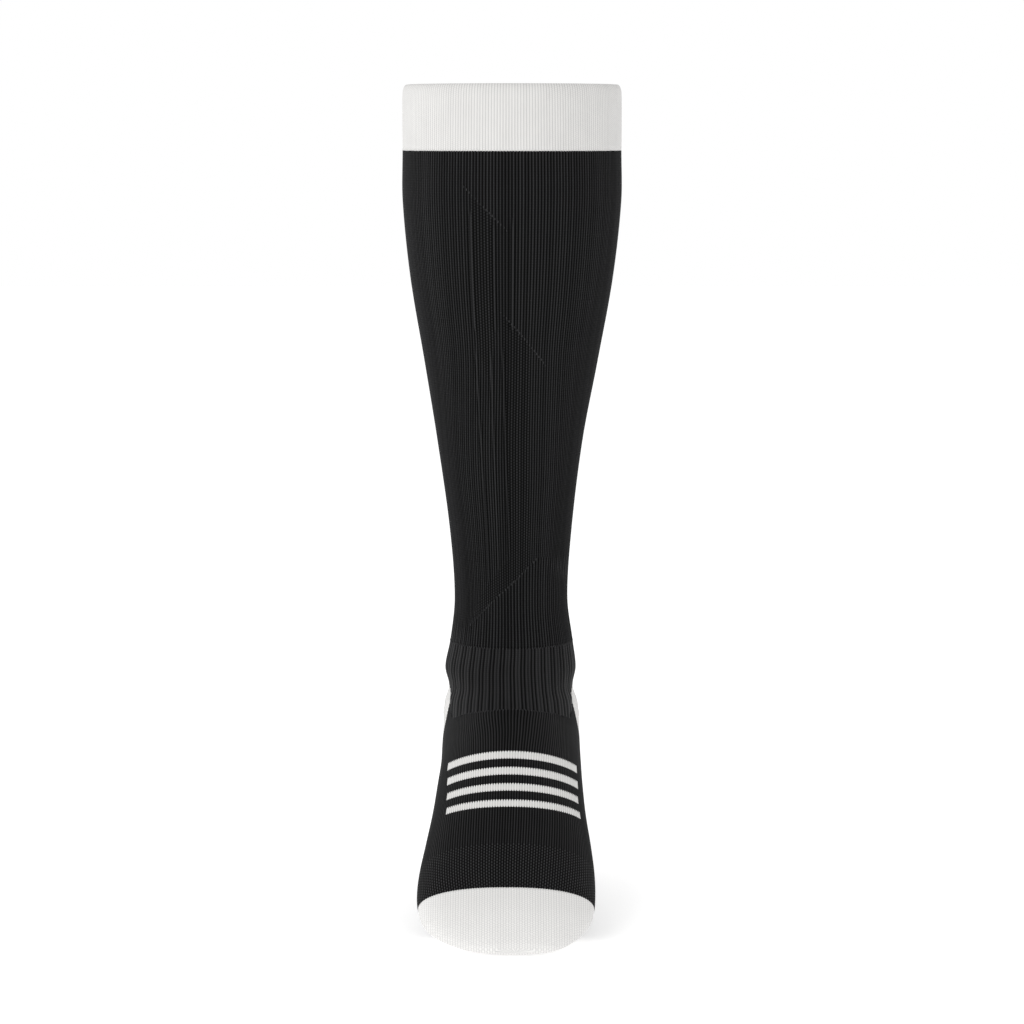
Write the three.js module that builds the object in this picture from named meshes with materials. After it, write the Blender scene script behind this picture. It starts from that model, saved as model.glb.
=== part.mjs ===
import * as THREE from 'three';

// A knee-high compression stocking, filled out on a general right leg with the foot pointed a little.
// Millimetres, +Z up. The origin is the middle of the top opening. The toes point to -Y, and the
// big toe is on the +X side. The sock is knitted from the top opening down to the toes.

// Knitted wall: its thickness, the doubled welt at the top, the ribs' height and the seams' width
const WALL = 1.8;
const WELT = 2.8;
const RIB = 0.45;
const SEAM = 0.3;

// Ribs round the leg and across the foot, and groups of the broad rib round the ankle
const LEG_RIBS = 200;
const FOOT_RIBS = 150;
const ANKLE_GROUPS = 42;

// Pose of the foot: the ankle's axis, its height over the sole, and how far the sole points down
const ANKLE = { y: 0, z: -313, overSole: 75 };
const FOOT_DROP = THREE.MathUtils.degToRad(18);

// A place on the foot, from its distance ahead of the ankle's axis and its height over the sole
function onFoot(ahead, up) {
  const over = up - ANKLE.overSole;
  const forward = ahead * Math.cos(FOOT_DROP) + over * Math.sin(FOOT_DROP);
  const rise = over * Math.cos(FOOT_DROP) - ahead * Math.sin(FOOT_DROP);
  return [ANKLE.y - forward, ANKLE.z + rise];
}

// Sections from the top opening to the toe. Each is a ring in a plane that leans with the sock.
// front, back: its foremost and hindmost points (y, z). half: half its width. widest: how far back
// its widest place lies (0 front, 1 back). round: the powers of its front and back halves (2 is an
// ellipse, more is squarer). shift: how far it lies sideways.
const SECTIONS = [
  // at            front              back               half  widest  round       shift
  ['top',          [-57, 0],          [57, 0],           58.7, 0.50,   [2.0, 2.0], 0.0],
  ['cuffEnd',      [-58, -35],        [60, -35],         58.8, 0.50,   [2.0, 2.0], 0.0],
  ['calf',         [-58, -62],        [62, -62],         58.9, 0.50,   [2.0, 2.0], 0.0],
  ['underCalf',    [-56, -104],       [61, -104],        54.6, 0.50,   [2.0, 2.0], -0.2],
  ['shin',         [-51, -148],       [54, -148],        47.0, 0.50,   [2.0, 2.0], -0.5],
  ['lowShin',      [-46, -191],       [45, -191],        39.5, 0.50,   [2.0, 2.0], -1.1],
  ['overAnkle',    [-40.5, -240],     [37.5, -240],      33.2, 0.50,   [2.0, 2.0], -0.7],
  ['ankle',        [-38.5, -277],     [35, -278],        30.9, 0.50,   [2.0, 2.0], -0.5],
  ['bandStart',    [-40, -299.5],     [38, -303],        33.6, 0.50,   [2.0, 2.0], -0.3],
  ['ankleBones',   [-41, -312],       [43, -321],        35.9, 0.50,   [2.0, 2.0], -0.8],
  ['waist',        [-42.3, -322],     onFoot(-43, 38),   34.3, 0.58,   [2.0, 2.1], -0.6],
  ['heelBack',     [-43, -327],       onFoot(-45, 22),   37.4, 0.70,   [2.0, 2.3], -0.5],
  ['bandEnd',      onFoot(47, 70.5),  onFoot(-38, 5),    38.1, 0.70,   [2.0, 2.5], -0.4],
  ['heelUnder',    onFoot(52, 68),    onFoot(-18, 1),    38.3, 0.68,   [2.0, 2.6], -0.5],
  ['arch',         onFoot(60, 64.7),  onFoot(6, 2),      38.5, 0.68,   [2.0, 2.7], -0.5],
  ['archMiddle',   onFoot(72, 60.2),  onFoot(33, 3.5),   39.4, 0.68,   [2.0, 2.8], -1.0],
  ['instep',       onFoot(90, 53.2),  onFoot(64, 2.5),   41.1, 0.68,   [2.0, 2.8], -1.5],
  ['ballStart',    onFoot(112, 45),   onFoot(95, 0),     43.9, 0.66,   [2.1, 2.8], -2.0],
  ['ball',         onFoot(130, 38.8), onFoot(118, 0),    45.6, 0.64,   [2.2, 2.8], -2.6],
  ['toeRoots',     onFoot(145, 34),   onFoot(136, 0),    46.0, 0.62,   [2.3, 2.7], -3.0],
  ['toeStart',     onFoot(158, 30),   onFoot(150, 0.5),  45.0, 0.58,   [2.3, 2.6], -3.0],
  ['toes',         onFoot(170, 25.5), onFoot(165, 2),    41.4, 0.55,   [2.3, 2.5], -2.7],
  ['toeEnds',      onFoot(179, 20),   onFoot(176.5, 4),  33.0, 0.50,   [2.3, 2.3], -1.6],
  ['toeFold',      onFoot(185, 15),   onFoot(184.2, 7),  21.5, 0.50,   [2.1, 2.1], 0.3],
  ['tip',          onFoot(187, 12),   onFoot(186.8, 9.8), 8.0, 0.50,   [2.0, 2.0], 1.8],
].map(([at, front, back, half, widest, round, shift]) => ({ at, front, back, half, widest, round, shift }));

// The foremost point of the toe, ahead of the ankle's axis and over the sole
const TIP = [187.6, 10.8];

// Distance down the sock to each section, measured along the middles of the rings
const stations = [0];
for (let i = 1; i < SECTIONS.length; i += 1) {
  const here = SECTIONS[i];
  const before = SECTIONS[i - 1];
  const dy = (here.front[0] + here.back[0] - before.front[0] - before.back[0]) / 2;
  const dz = (here.front[1] + here.back[1] - before.front[1] - before.back[1]) / 2;
  stations.push(stations[i - 1] + Math.hypot(dy, dz));
}

// The station of a named section
function stationOf(name) {
  return stations[SECTIONS.findIndex((row) => row.at === name)];
}

// One column of the table as a smooth curve, ready to be read at any station
function column(pick) {
  const values = SECTIONS.map(pick);
  const last = values.length - 1;
  const slopes = values.map((value, i) => {
    const low = Math.max(i - 1, 0);
    const high = Math.min(i + 1, last);
    return (values[high] - values[low]) / (stations[high] - stations[low]);
  });
  return (s) => {
    let i = 0;
    while (i < last - 1 && s > stations[i + 1]) {
      i += 1;
    }
    const span = stations[i + 1] - stations[i];
    const u = (s - stations[i]) / span;
    const v = 1 - u;
    const fromStart = (values[i] * (1 + 2 * u) + slopes[i] * span * u) * v * v;
    const fromEnd = (values[i + 1] * (1 + 2 * v) - slopes[i + 1] * span * v) * u * u;
    return fromStart + fromEnd;
  };
}

const frontY = column((row) => row.front[0]);
const frontZ = column((row) => row.front[1]);
const backY = column((row) => row.back[0]);
const backZ = column((row) => row.back[1]);
const halfWidth = column((row) => row.half);
const widestAt = column((row) => row.widest);
const frontPower = column((row) => row.round[0]);
const backPower = column((row) => row.round[1]);
const sideShift = column((row) => row.shift);

// The ring at a station, with the length run along it from the front round by the +X side
const RING_STEPS = 240;
const ringsMade = new Map();
function ring(s) {
  const key = s.toFixed(4);
  if (!ringsMade.has(key)) {
    const front = new THREE.Vector3(sideShift(s), frontY(s), frontZ(s));
    const back = new THREE.Vector3(sideShift(s), backY(s), backZ(s));
    const middle = front.clone().lerp(back, widestAt(s));
    const points = [];
    const run = [0];
    for (let k = 0; k <= RING_STEPS; k += 1) {
      const angle = (2 * Math.PI * k) / RING_STEPS;
      const ahead = Math.cos(angle);
      const side = Math.sin(angle);
      const power = 2 / (ahead > 0 ? frontPower(s) : backPower(s));
      const point = middle.clone().lerp(ahead > 0 ? front : back, Math.abs(ahead) ** power);
      point.x += Math.sign(side) * Math.abs(side) ** power * halfWidth(s);
      points.push(point);
      if (k > 0) {
        run.push(run[k - 1] + point.distanceTo(points[k - 1]));
      }
    }
    ringsMade.set(key, { points, run });
  }
  return ringsMade.get(key);
}

// A point of the sock's outside: s down the sock, turn from 0 at the front round to 1
function outside(s, turn) {
  const { points, run } = ring(s);
  const wanted = (turn - Math.floor(turn)) * run[RING_STEPS];
  let low = 0;
  let high = RING_STEPS;
  while (high - low > 1) {
    const half = (low + high) >> 1;
    if (run[half] > wanted) {
      high = half;
    } else {
      low = half;
    }
  }
  return points[low].clone().lerp(points[high], (wanted - run[low]) / (run[high] - run[low]));
}

// The direction that faces out of the sock at a place, from short steps down and round it
const DOWN_STEP = 0.4;
const ROUND_STEP = 0.004;
function outward(s, turn) {
  const down = outside(s + DOWN_STEP, turn).sub(outside(Math.max(s - DOWN_STEP, 0), turn));
  const round = outside(s, turn + ROUND_STEP).sub(outside(s, turn - ROUND_STEP));
  return down.cross(round).normalize();
}

// A place on or under the outside: raised along the outward direction, or sunk where it is negative
function place(s, turn, raised = 0) {
  return outside(s, turn).addScaledVector(outward(s, turn), raised);
}

// A border between two pieces runs round the sock as a station for each turn. Its points are moved
// away from the seam by half the seam's width: side is 1 for the piece below it and -1 above it.
const BORDER_STEP = 0.0015;
function seamPoint(border, turn, raised, side) {
  const here = place(border(turn), turn, raised);
  const before = turn - BORDER_STEP;
  const after = turn + BORDER_STEP;
  const along = outside(border(after), after).sub(outside(border(before), before));
  const across = along.cross(outward(border(turn), turn)).normalize();
  return here.addScaledVector(across, (side * SEAM) / 2);
}

// Borders, from the top opening down
const level = (s) => () => s;
const cuffEnd = level(stationOf('cuffEnd'));
const bandStart = level(stationOf('bandStart'));
const forefootStart = level(stationOf('ball'));
const toeStart = level(stationOf('toeStart'));

// The heel pocket starts from two corners at the ankle's sides. From each corner its upper edge rises
// steeply and runs over the back of the heel, and its lower edge runs down under the sole.
const HEEL = { corner: 0.192, over: 31, overBlunt: 0.38, under: 30, underBlunt: 2 };
const bandFront = stationOf('bandEnd');
function heelSpread(turn, blunt) {
  const fromFront = Math.abs(turn - Math.round(turn));
  const reach = (fromFront - HEEL.corner) / (0.5 - HEEL.corner);
  return reach > 0 ? Math.sin((Math.PI / 2) * Math.min(reach, 1)) ** blunt : 0;
}
const bandEnd = (turn) => bandFront - HEEL.over * heelSpread(turn, HEEL.overBlunt);
const footStart = (turn) => bandFront + HEEL.under * heelSpread(turn, HEEL.underBlunt);

// Collects the points and triangles of one closed wall
class Wall {
  constructor() {
    this.positions = [];
    this.faces = [];
  }

  add(point) {
    this.positions.push(point.x, point.y, point.z);
    return this.positions.length / 3 - 1;
  }

  face(a, b, c) {
    if (a !== b && b !== c && c !== a) {
      this.faces.push(a, b, c);
    }
  }

  // Fills a grid of point numbers, with rows down the sock and columns round it. out is false for an
  // inside face.
  fill(grid, out) {
    for (let i = 0; i + 1 < grid.length; i += 1) {
      for (let j = 0; j + 1 < grid[i].length; j += 1) {
        const [a, b, c, d] = [grid[i][j], grid[i + 1][j], grid[i + 1][j + 1], grid[i][j + 1]];
        if (out) {
          this.face(a, b, c);
          this.face(a, c, d);
        } else {
          this.face(a, c, b);
          this.face(a, d, c);
        }
      }
    }
  }

  // Joins an outer and an inner edge, each as point numbers with their turns. top says which end of
  // the wall it is.
  join(outer, inner, top) {
    let i = 0;
    let j = 0;
    while (i + 1 < outer.length || j + 1 < inner.length) {
      const outerNext = i + 1 < outer.length ? outer[i + 1].turn : Infinity;
      const innerNext = j + 1 < inner.length ? inner[j + 1].turn : Infinity;
      const [a, b] = [outer[i].index, inner[j].index];
      if (outerNext <= innerNext) {
        i += 1;
        this.face(a, ...(top ? [outer[i].index, b] : [b, outer[i].index]));
      } else {
        j += 1;
        this.face(a, ...(top ? [inner[j].index, b] : [b, inner[j].index]));
      }
    }
  }

  mesh(name, colour, roughness) {
    const geometry = new THREE.BufferGeometry();
    geometry.setAttribute('position', new THREE.Float32BufferAttribute(this.positions, 3));
    geometry.setIndex(this.faces);
    geometry.computeVertexNormals();
    const material = new THREE.MeshStandardMaterial({ color: colour, roughness, metalness: 0 });
    const made = new THREE.Mesh(geometry, material);
    made.name = name;
    return made;
  }
}

// Evenly spaced turns, or shares of a way, with both ends
function evenTurns(count, from = 0, to = 1) {
  return Array.from({ length: count + 1 }, (unused, i) => from + ((to - from) * i) / count);
}

// Points of one side of a wall between two borders. closed joins the last column to the first.
function side(wall, { top, bottom, turns, rows, closed, raise }) {
  return rows.map((v, i) => {
    const line = turns.map((turn, j) => {
      const raised = raise(turn, j);
      if (closed && j === turns.length - 1) {
        return null;
      }
      if (i === 0) {
        return wall.add(seamPoint(top, turn, raised, 1));
      }
      if (i === rows.length - 1) {
        return wall.add(seamPoint(bottom, turn, raised, -1));
      }
      return wall.add(place(top(turn) + (bottom(turn) - top(turn)) * v, turn, raised));
    });
    if (closed) {
      line[line.length - 1] = line[0];
    }
    return line;
  });
}

// One edge of a grid, with the turns that its points stand at
function edge(line, turns) {
  return line.map((index, j) => ({ index, turn: turns[j] }));
}

// A tube between two borders, with raised ribs outside over a plain inside
function tube(name, colour, { top, bottom, outerTurns, innerTurns, rows, innerRows, raise }) {
  const wall = new Wall();
  const outer = side(wall, { top, bottom, turns: outerTurns, rows, closed: true, raise });
  const sunk = () => -WALL;
  const inner = side(wall, { top, bottom, turns: innerTurns, rows: innerRows, closed: true, raise: sunk });
  wall.fill(outer, true);
  wall.fill(inner, false);
  wall.join(edge(outer[0], outerTurns), edge(inner[0], innerTurns), true);
  wall.join(edge(outer.at(-1), outerTurns), edge(inner.at(-1), innerTurns), false);
  return wall.mesh(name, colour, 0.85);
}

// The white doubled welt: a band folded over at the top, so its wall is a long loop with a round top
function makeCuff() {
  const wall = new Wall();
  const turns = evenTurns(72);
  const end = stationOf('cuffEnd');
  const radius = WELT / 2;
  const profile = [[end, 0], [end * 0.6, 0.1], [end * 0.25, 0.1], [radius, 0]];
  for (const angle of [45, 90, 135]) {
    const turned = THREE.MathUtils.degToRad(angle);
    profile.push([radius * (1 - Math.sin(turned)), -radius * (1 - Math.cos(turned))]);
  }
  profile.push([radius, -WELT], [end * 0.5, -WELT], [end, -WELT]);
  const rows = profile.map(([s, raised]) => {
    const line = turns.slice(0, -1).map((turn) => {
      const point = s === end ? seamPoint(cuffEnd, turn, raised, -1) : place(s, turn, raised);
      return wall.add(point);
    });
    return [...line, line[0]];
  });
  wall.fill([...rows, rows[0]], false);
  return wall.mesh('cuff', '#e9e9ea', 0.8);
}

// How far down the leg its rows lie, closer where the outline bends
const LEG_ROWS = [0, 0.13, 0.26, 0.44, 0.64, 0.8, 0.91, 1];

// The black leg, ribbed all round from the welt to the ankle band
function makeLeg() {
  return tube('leg', '#1c1c1d', {
    top: cuffEnd,
    bottom: bandStart,
    outerTurns: evenTurns(2 * LEG_RIBS),
    innerTurns: evenTurns(48),
    rows: LEG_ROWS,
    innerRows: LEG_ROWS,
    raise: (turn, j) => (j % 2 === 0 ? 0 : -RIB),
  });
}

// Turns from one of the heel's corners to the other, closest together where its edges bend most
const HEEL_SHARES = [0, 0.003, 0.012, 0.03, 0.06, 0.1, 0.16, 0.24, 0.34, 0.46, 0.6, 0.74, 0.87, 1];
function turnsRoundHeel() {
  const backs = HEEL_SHARES.map((share) => HEEL.corner + (0.5 - HEEL.corner) * share);
  return [...backs, ...backs.slice(0, -1).reverse().map((turn) => 1 - turn)];
}

// Plain turns for the inside of a tube that meets the heel: even in front, the heel's own behind
function innerTurnsByHeel() {
  const fronts = evenTurns(8, 0, HEEL.corner).slice(0, -1);
  return [...fronts, ...turnsRoundHeel(), ...fronts.map((turn) => 1 - turn).reverse()];
}

// One group of the ankle band: a broad rib and a narrow rib, parted by two grooves. Each point is its
// share of the group's width and how deep it lies.
const GROUP_PROFILE = [[0, 0], [0.5, 0], [0.62, 1], [0.72, 0.25], [0.82, 0.25], [0.92, 1]];
const GROUP_DEPTH = 0.7;

// The black ankle band, ribbed all round, over the heel pocket's upper edge
function makeAnkleBand() {
  const outerTurns = [];
  const depths = [];
  for (let group = 0; group < ANKLE_GROUPS; group += 1) {
    for (const [share, depth] of GROUP_PROFILE) {
      outerTurns.push((group + share) / ANKLE_GROUPS);
      depths.push(depth * GROUP_DEPTH);
    }
  }
  outerTurns.push(1);
  depths.push(0);
  return tube('ankle_band', '#1a1a1b', {
    top: bandStart,
    bottom: bandEnd,
    outerTurns,
    innerTurns: innerTurnsByHeel(),
    rows: evenTurns(3),
    innerRows: evenTurns(3),
    raise: (turn, j) => -depths[j],
  });
}

// The white heel pocket, as deep as the heel and closed at its two corners
function makeHeel() {
  const wall = new Wall();
  const turns = turnsRoundHeel();
  const rows = evenTurns(8);
  const sheet = (raised) => {
    const edges = { top: bandEnd, bottom: footStart, closed: false };
    const grid = side(wall, { ...edges, turns, rows, raise: () => raised });
    for (const line of grid) {
      line[0] = grid[0][0];
      line[line.length - 1] = grid[0].at(-1);
    }
    return grid;
  };
  const outer = sheet(0);
  const inner = sheet(-WALL);
  wall.fill(outer, true);
  wall.fill(inner, false);
  wall.join(edge(outer[0], turns), edge(inner[0], turns), true);
  wall.join(edge(outer.at(-1), turns), edge(inner.at(-1), turns), false);
  return wall.mesh('heel', '#e6e6e7', 0.85);
}

// The black foot, ribbed over the instep as far round as RIBBED_TURN, and plain under the sole
const RIBBED_TURN = 0.3;
function makeFoot() {
  const over = evenTurns(2 * Math.round(FOOT_RIBS * RIBBED_TURN), 0, RIBBED_TURN);
  const under = evenTurns(16, RIBBED_TURN, 0.5).slice(1);
  const right = [...over, ...under];
  const outerTurns = [...right, ...right.slice(0, -1).reverse().map((turn) => 1 - turn)];
  const grooves = outerTurns.map((turn, j) => {
    const fromFront = j < right.length ? j : outerTurns.length - 1 - j;
    return fromFront < over.length && fromFront % 2 === 1;
  });
  return tube('foot', '#1c1c1d', {
    top: footStart,
    bottom: forefootStart,
    outerTurns,
    innerTurns: innerTurnsByHeel(),
    rows: evenTurns(5),
    innerRows: evenTurns(5),
    raise: (turn, j) => (grooves[j] ? -RIB : 0),
  });
}

// The plain black band behind the toes
function makeForefoot() {
  return tube('forefoot', '#1b1b1c', {
    top: forefootStart,
    bottom: toeStart,
    outerTurns: evenTurns(72),
    innerTurns: evenTurns(48),
    rows: evenTurns(2),
    innerRows: evenTurns(2),
    raise: () => 0,
  });
}

// The white toe cap: rings that close on a point at the tip
function makeToeCap() {
  const wall = new Wall();
  const start = stationOf('toeStart');
  const end = stationOf('tip');
  const tip = new THREE.Vector3(sideShift(end), ...onFoot(...TIP));
  const turns = evenTurns(48);
  const cap = (raised, last, rowCount, point) => {
    const grid = evenTurns(rowCount).map((v, i) => {
      const s = start + (last - start) * v;
      const line = turns.slice(0, -1).map((turn) => {
        const made = i === 0 ? seamPoint(toeStart, turn, raised, 1) : place(s, turn, raised);
        return wall.add(made);
      });
      return [...line, line[0]];
    });
    const pole = wall.add(point);
    grid.push(turns.map(() => pole));
    return grid;
  };
  const outer = cap(0, end, 9, tip);
  const innerTip = new THREE.Vector3(sideShift(end), ...onFoot(TIP[0] - 1.4 * WALL, TIP[1]));
  const inner = cap(-WALL, stationOf('toeEnds'), 6, innerTip);
  wall.fill(outer, true);
  wall.fill(inner, false);
  wall.join(edge(outer[0], turns), edge(inner[0], turns), true);
  return wall.mesh('toe_cap', '#ececed', 0.85);
}

const stocking = new THREE.Group();
stocking.add(makeCuff(), makeLeg(), makeAnkleBand(), makeHeel(), makeFoot(), makeForefoot(), makeToeCap());

export default stocking;
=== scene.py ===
import math

import bpy
import numpy as np
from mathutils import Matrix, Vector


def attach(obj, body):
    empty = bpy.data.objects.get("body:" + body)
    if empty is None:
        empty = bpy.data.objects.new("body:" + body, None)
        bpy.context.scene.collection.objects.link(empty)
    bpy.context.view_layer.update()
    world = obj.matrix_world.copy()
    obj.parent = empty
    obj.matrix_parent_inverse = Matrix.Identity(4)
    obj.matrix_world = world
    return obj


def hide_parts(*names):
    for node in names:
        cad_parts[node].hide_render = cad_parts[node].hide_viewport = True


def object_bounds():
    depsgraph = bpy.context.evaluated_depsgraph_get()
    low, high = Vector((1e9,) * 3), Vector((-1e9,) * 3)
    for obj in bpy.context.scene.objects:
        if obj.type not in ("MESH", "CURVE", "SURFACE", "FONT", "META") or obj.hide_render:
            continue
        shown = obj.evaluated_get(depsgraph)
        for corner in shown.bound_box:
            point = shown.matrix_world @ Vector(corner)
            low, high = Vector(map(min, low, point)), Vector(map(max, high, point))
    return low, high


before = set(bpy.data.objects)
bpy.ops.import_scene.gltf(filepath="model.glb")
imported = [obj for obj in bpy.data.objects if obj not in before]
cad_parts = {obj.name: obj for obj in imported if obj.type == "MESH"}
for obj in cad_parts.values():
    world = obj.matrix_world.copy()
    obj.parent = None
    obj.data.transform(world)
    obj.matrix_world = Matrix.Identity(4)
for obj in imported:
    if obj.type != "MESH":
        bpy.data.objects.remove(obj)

cad_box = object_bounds()

# The welt. A white band of plain knit at the top opening, knitted twice as long as it shows, folded
# over and linked inside to the first course of the leg. It grips the calf, so it is the thickest
# part of the sock. Its sizes stand on those of the whole form, which are here in millimetres.
MM = 0.001
WALL = 1.8
WELT = 2.8
ANKLE_HEIGHT = 75
ANKLE_LEVEL = -313
FOOT_DROP = math.radians(18)


def on_foot(ahead, up):
    """A place on the foot, from its distance ahead of the ankle's axis and its height over the sole."""
    over = up - ANKLE_HEIGHT
    forward = ahead * math.cos(FOOT_DROP) + over * math.sin(FOOT_DROP)
    rise = over * math.cos(FOOT_DROP) - ahead * math.sin(FOOT_DROP)
    return (-forward, ANKLE_LEVEL + rise)


# Rings from the top opening to the toe: the foremost and hindmost points (y, z), half the width, how
# far back the widest place lies, how square the front and back halves are (2 is an ellipse), and how
# far the ring lies sideways.
RINGS = [
    # at            front                 back                  half  widest  round       shift
    ("top",         (-57, 0),             (57, 0),              58.7, 0.50,   (2.0, 2.0), 0.0),
    ("cuff_end",    (-58, -35),           (60, -35),            58.8, 0.50,   (2.0, 2.0), 0.0),
    ("calf",        (-58, -62),           (62, -62),            58.9, 0.50,   (2.0, 2.0), 0.0),
    ("under_calf",  (-56, -104),          (61, -104),           54.6, 0.50,   (2.0, 2.0), -0.2),
    ("shin",        (-51, -148),          (54, -148),           47.0, 0.50,   (2.0, 2.0), -0.5),
    ("low_shin",    (-46, -191),          (45, -191),           39.5, 0.50,   (2.0, 2.0), -1.1),
    ("over_ankle",  (-40.5, -240),        (37.5, -240),         33.2, 0.50,   (2.0, 2.0), -0.7),
    ("ankle",       (-38.5, -277),        (35, -278),           30.9, 0.50,   (2.0, 2.0), -0.5),
    ("band_start",  (-40, -299.5),        (38, -303),           33.6, 0.50,   (2.0, 2.0), -0.3),
    ("ankle_bones", (-41, -312),          (43, -321),           35.9, 0.50,   (2.0, 2.0), -0.8),
    ("waist",       (-42.3, -322),        on_foot(-43, 38),     34.3, 0.58,   (2.0, 2.1), -0.6),
    ("heel_back",   (-43, -327),          on_foot(-45, 22),     37.4, 0.70,   (2.0, 2.3), -0.5),
    ("band_end",    on_foot(47, 70.5),    on_foot(-38, 5),      38.1, 0.70,   (2.0, 2.5), -0.4),
    ("heel_under",  on_foot(52, 68),      on_foot(-18, 1),      38.3, 0.68,   (2.0, 2.6), -0.5),
    ("arch",        on_foot(60, 64.7),    on_foot(6, 2),        38.5, 0.68,   (2.0, 2.7), -0.5),
    ("arch_middle", on_foot(72, 60.2),    on_foot(33, 3.5),     39.4, 0.68,   (2.0, 2.8), -1.0),
    ("instep",      on_foot(90, 53.2),    on_foot(64, 2.5),     41.1, 0.68,   (2.0, 2.8), -1.5),
    ("ball_start",  on_foot(112, 45),     on_foot(95, 0),       43.9, 0.66,   (2.1, 2.8), -2.0),
    ("ball",        on_foot(130, 38.8),   on_foot(118, 0),      45.6, 0.64,   (2.2, 2.8), -2.6),
    ("toe_roots",   on_foot(145, 34),     on_foot(136, 0),      46.0, 0.62,   (2.3, 2.7), -3.0),
    ("toe_start",   on_foot(158, 30),     on_foot(150, 0.5),    45.0, 0.58,   (2.3, 2.6), -3.0),
    ("toes",        on_foot(170, 25.5),   on_foot(165, 2),      41.4, 0.55,   (2.3, 2.5), -2.7),
    ("toe_ends",    on_foot(179, 20),     on_foot(176.5, 4),    33.0, 0.50,   (2.3, 2.3), -1.6),
    ("toe_fold",    on_foot(185, 15),     on_foot(184.2, 7),    21.5, 0.50,   (2.1, 2.1), 0.3),
    ("tip",         on_foot(187, 12),     on_foot(186.8, 9.8),  8.0,  0.50,   (2.0, 2.0), 1.8),
]
front = np.array([ring[1] for ring in RINGS], float)
back = np.array([ring[2] for ring in RINGS], float)
steps = np.linalg.norm(np.diff((front + back) / 2, axis=0), axis=1)
stations = np.concatenate([[0], np.cumsum(steps)])
STATION = {ring[0]: s for ring, s in zip(RINGS, stations)}


def column(values, s):
    """One column of the table of rings, read as a smooth curve at the stations s."""
    values = np.asarray(values, float)
    slopes = np.empty_like(values)
    slopes[1:-1] = (values[2:] - values[:-2]) / (stations[2:] - stations[:-2])
    slopes[0] = (values[1] - values[0]) / (stations[1] - stations[0])
    slopes[-1] = (values[-1] - values[-2]) / (stations[-1] - stations[-2])
    i = np.clip(np.searchsorted(stations, s, side="right") - 1, 0, len(stations) - 2)
    span = stations[i + 1] - stations[i]
    u = (s - stations[i]) / span
    v = 1 - u
    from_start = (values[i] * (1 + 2 * u) + slopes[i] * span * u) * v * v
    from_end = (values[i + 1] * (1 + 2 * v) - slopes[i + 1] * span * v) * u * u
    return from_start + from_end


CHART_STEP = 0.5
CHART_TURNS = 720
CHART_ANGLES = 480


def make_chart():
    """The sock's outside and the way it faces, on a fine grid of stations and turns round it, how far
    it is round it, and the turn that each angle of a ring reaches."""
    s = np.arange(0, stations[-1], CHART_STEP)
    angle = np.linspace(0, 2 * math.pi, CHART_ANGLES + 1)[None, :]
    ahead, side = np.cos(angle), np.sin(angle)
    shift = column([ring[6] for ring in RINGS], s)
    fore = np.stack([shift, column(front[:, 0], s), column(front[:, 1], s)], 1)[:, None]
    rear = np.stack([shift, column(back[:, 0], s), column(back[:, 1], s)], 1)[:, None]
    widest = column([ring[4] for ring in RINGS], s)[:, None, None]
    middle = fore + (rear - fore) * widest
    powers = [column([ring[5][k] for ring in RINGS], s)[:, None] for k in (0, 1)]
    power = 2 / np.where(ahead > 0, powers[0], powers[1])
    share = (np.abs(ahead) ** power)[..., None]
    points = middle + (np.where((ahead > 0)[..., None], fore, rear) - middle) * share
    half = column([ring[3] for ring in RINGS], s)[:, None]
    points[..., 0] += np.sign(side) * np.abs(side) ** power * half
    runs = np.cumsum(np.linalg.norm(np.diff(points, axis=1), axis=2), axis=1)
    runs = np.concatenate([np.zeros((len(s), 1)), runs], axis=1)
    turns = np.linspace(0, 1, CHART_TURNS + 1)
    outside = np.empty((len(s), CHART_TURNS + 1, 3))
    for i, run in enumerate(runs):
        for k in range(3):
            outside[i, :, k] = np.interp(turns * run[-1], run, points[i, :, k])
    down = np.gradient(outside, axis=0)
    wrapped = np.concatenate([outside[:, -2:-1], outside, outside[:, 1:2]], axis=1)
    facing = np.cross(down, wrapped[:, 2:] - wrapped[:, :-2])
    facing /= np.linalg.norm(facing, axis=2, keepdims=True)
    return outside, facing, runs[:, -1], runs / runs[:, -1:]


OUTSIDE, FACING, GIRTHS, REACHED = make_chart()


def read_chart(grid, s, across):
    """Reads a grid of the chart between its stations and its columns."""
    down = np.clip(s / CHART_STEP, 0, len(grid) - 1.001)
    i = down.astype(int)
    j = np.minimum(across.astype(int), grid.shape[1] - 2)
    spread = (slice(None),) * i.ndim + (None,) * (grid.ndim - 2)
    u, v = (down - i)[spread], (across - j)[spread]
    high = grid[i, j] * (1 - v) + grid[i, j + 1] * v
    low = grid[i + 1, j] * (1 - v) + grid[i + 1, j + 1] * v
    return high * (1 - u) + low * u


def skin(s, turn, raised=0.0):
    """Places on the sock in millimetres, raised along the way the cloth faces, and that way.
    s runs down the sock. turn is 0 at the front and goes round by the +X side to 1."""
    s, turn, raised = np.broadcast_arrays(s, turn, raised)
    across = (turn % 1) * CHART_TURNS
    facing = read_chart(FACING, s, across)
    facing /= np.linalg.norm(facing, axis=-1, keepdims=True)
    return read_chart(OUTSIDE, s, across) + facing * raised[..., None], facing


def in_scene(name, data):
    """A new object in the scene."""
    obj = bpy.data.objects.new(name, data)
    bpy.context.scene.collection.objects.link(obj)
    return obj


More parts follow.
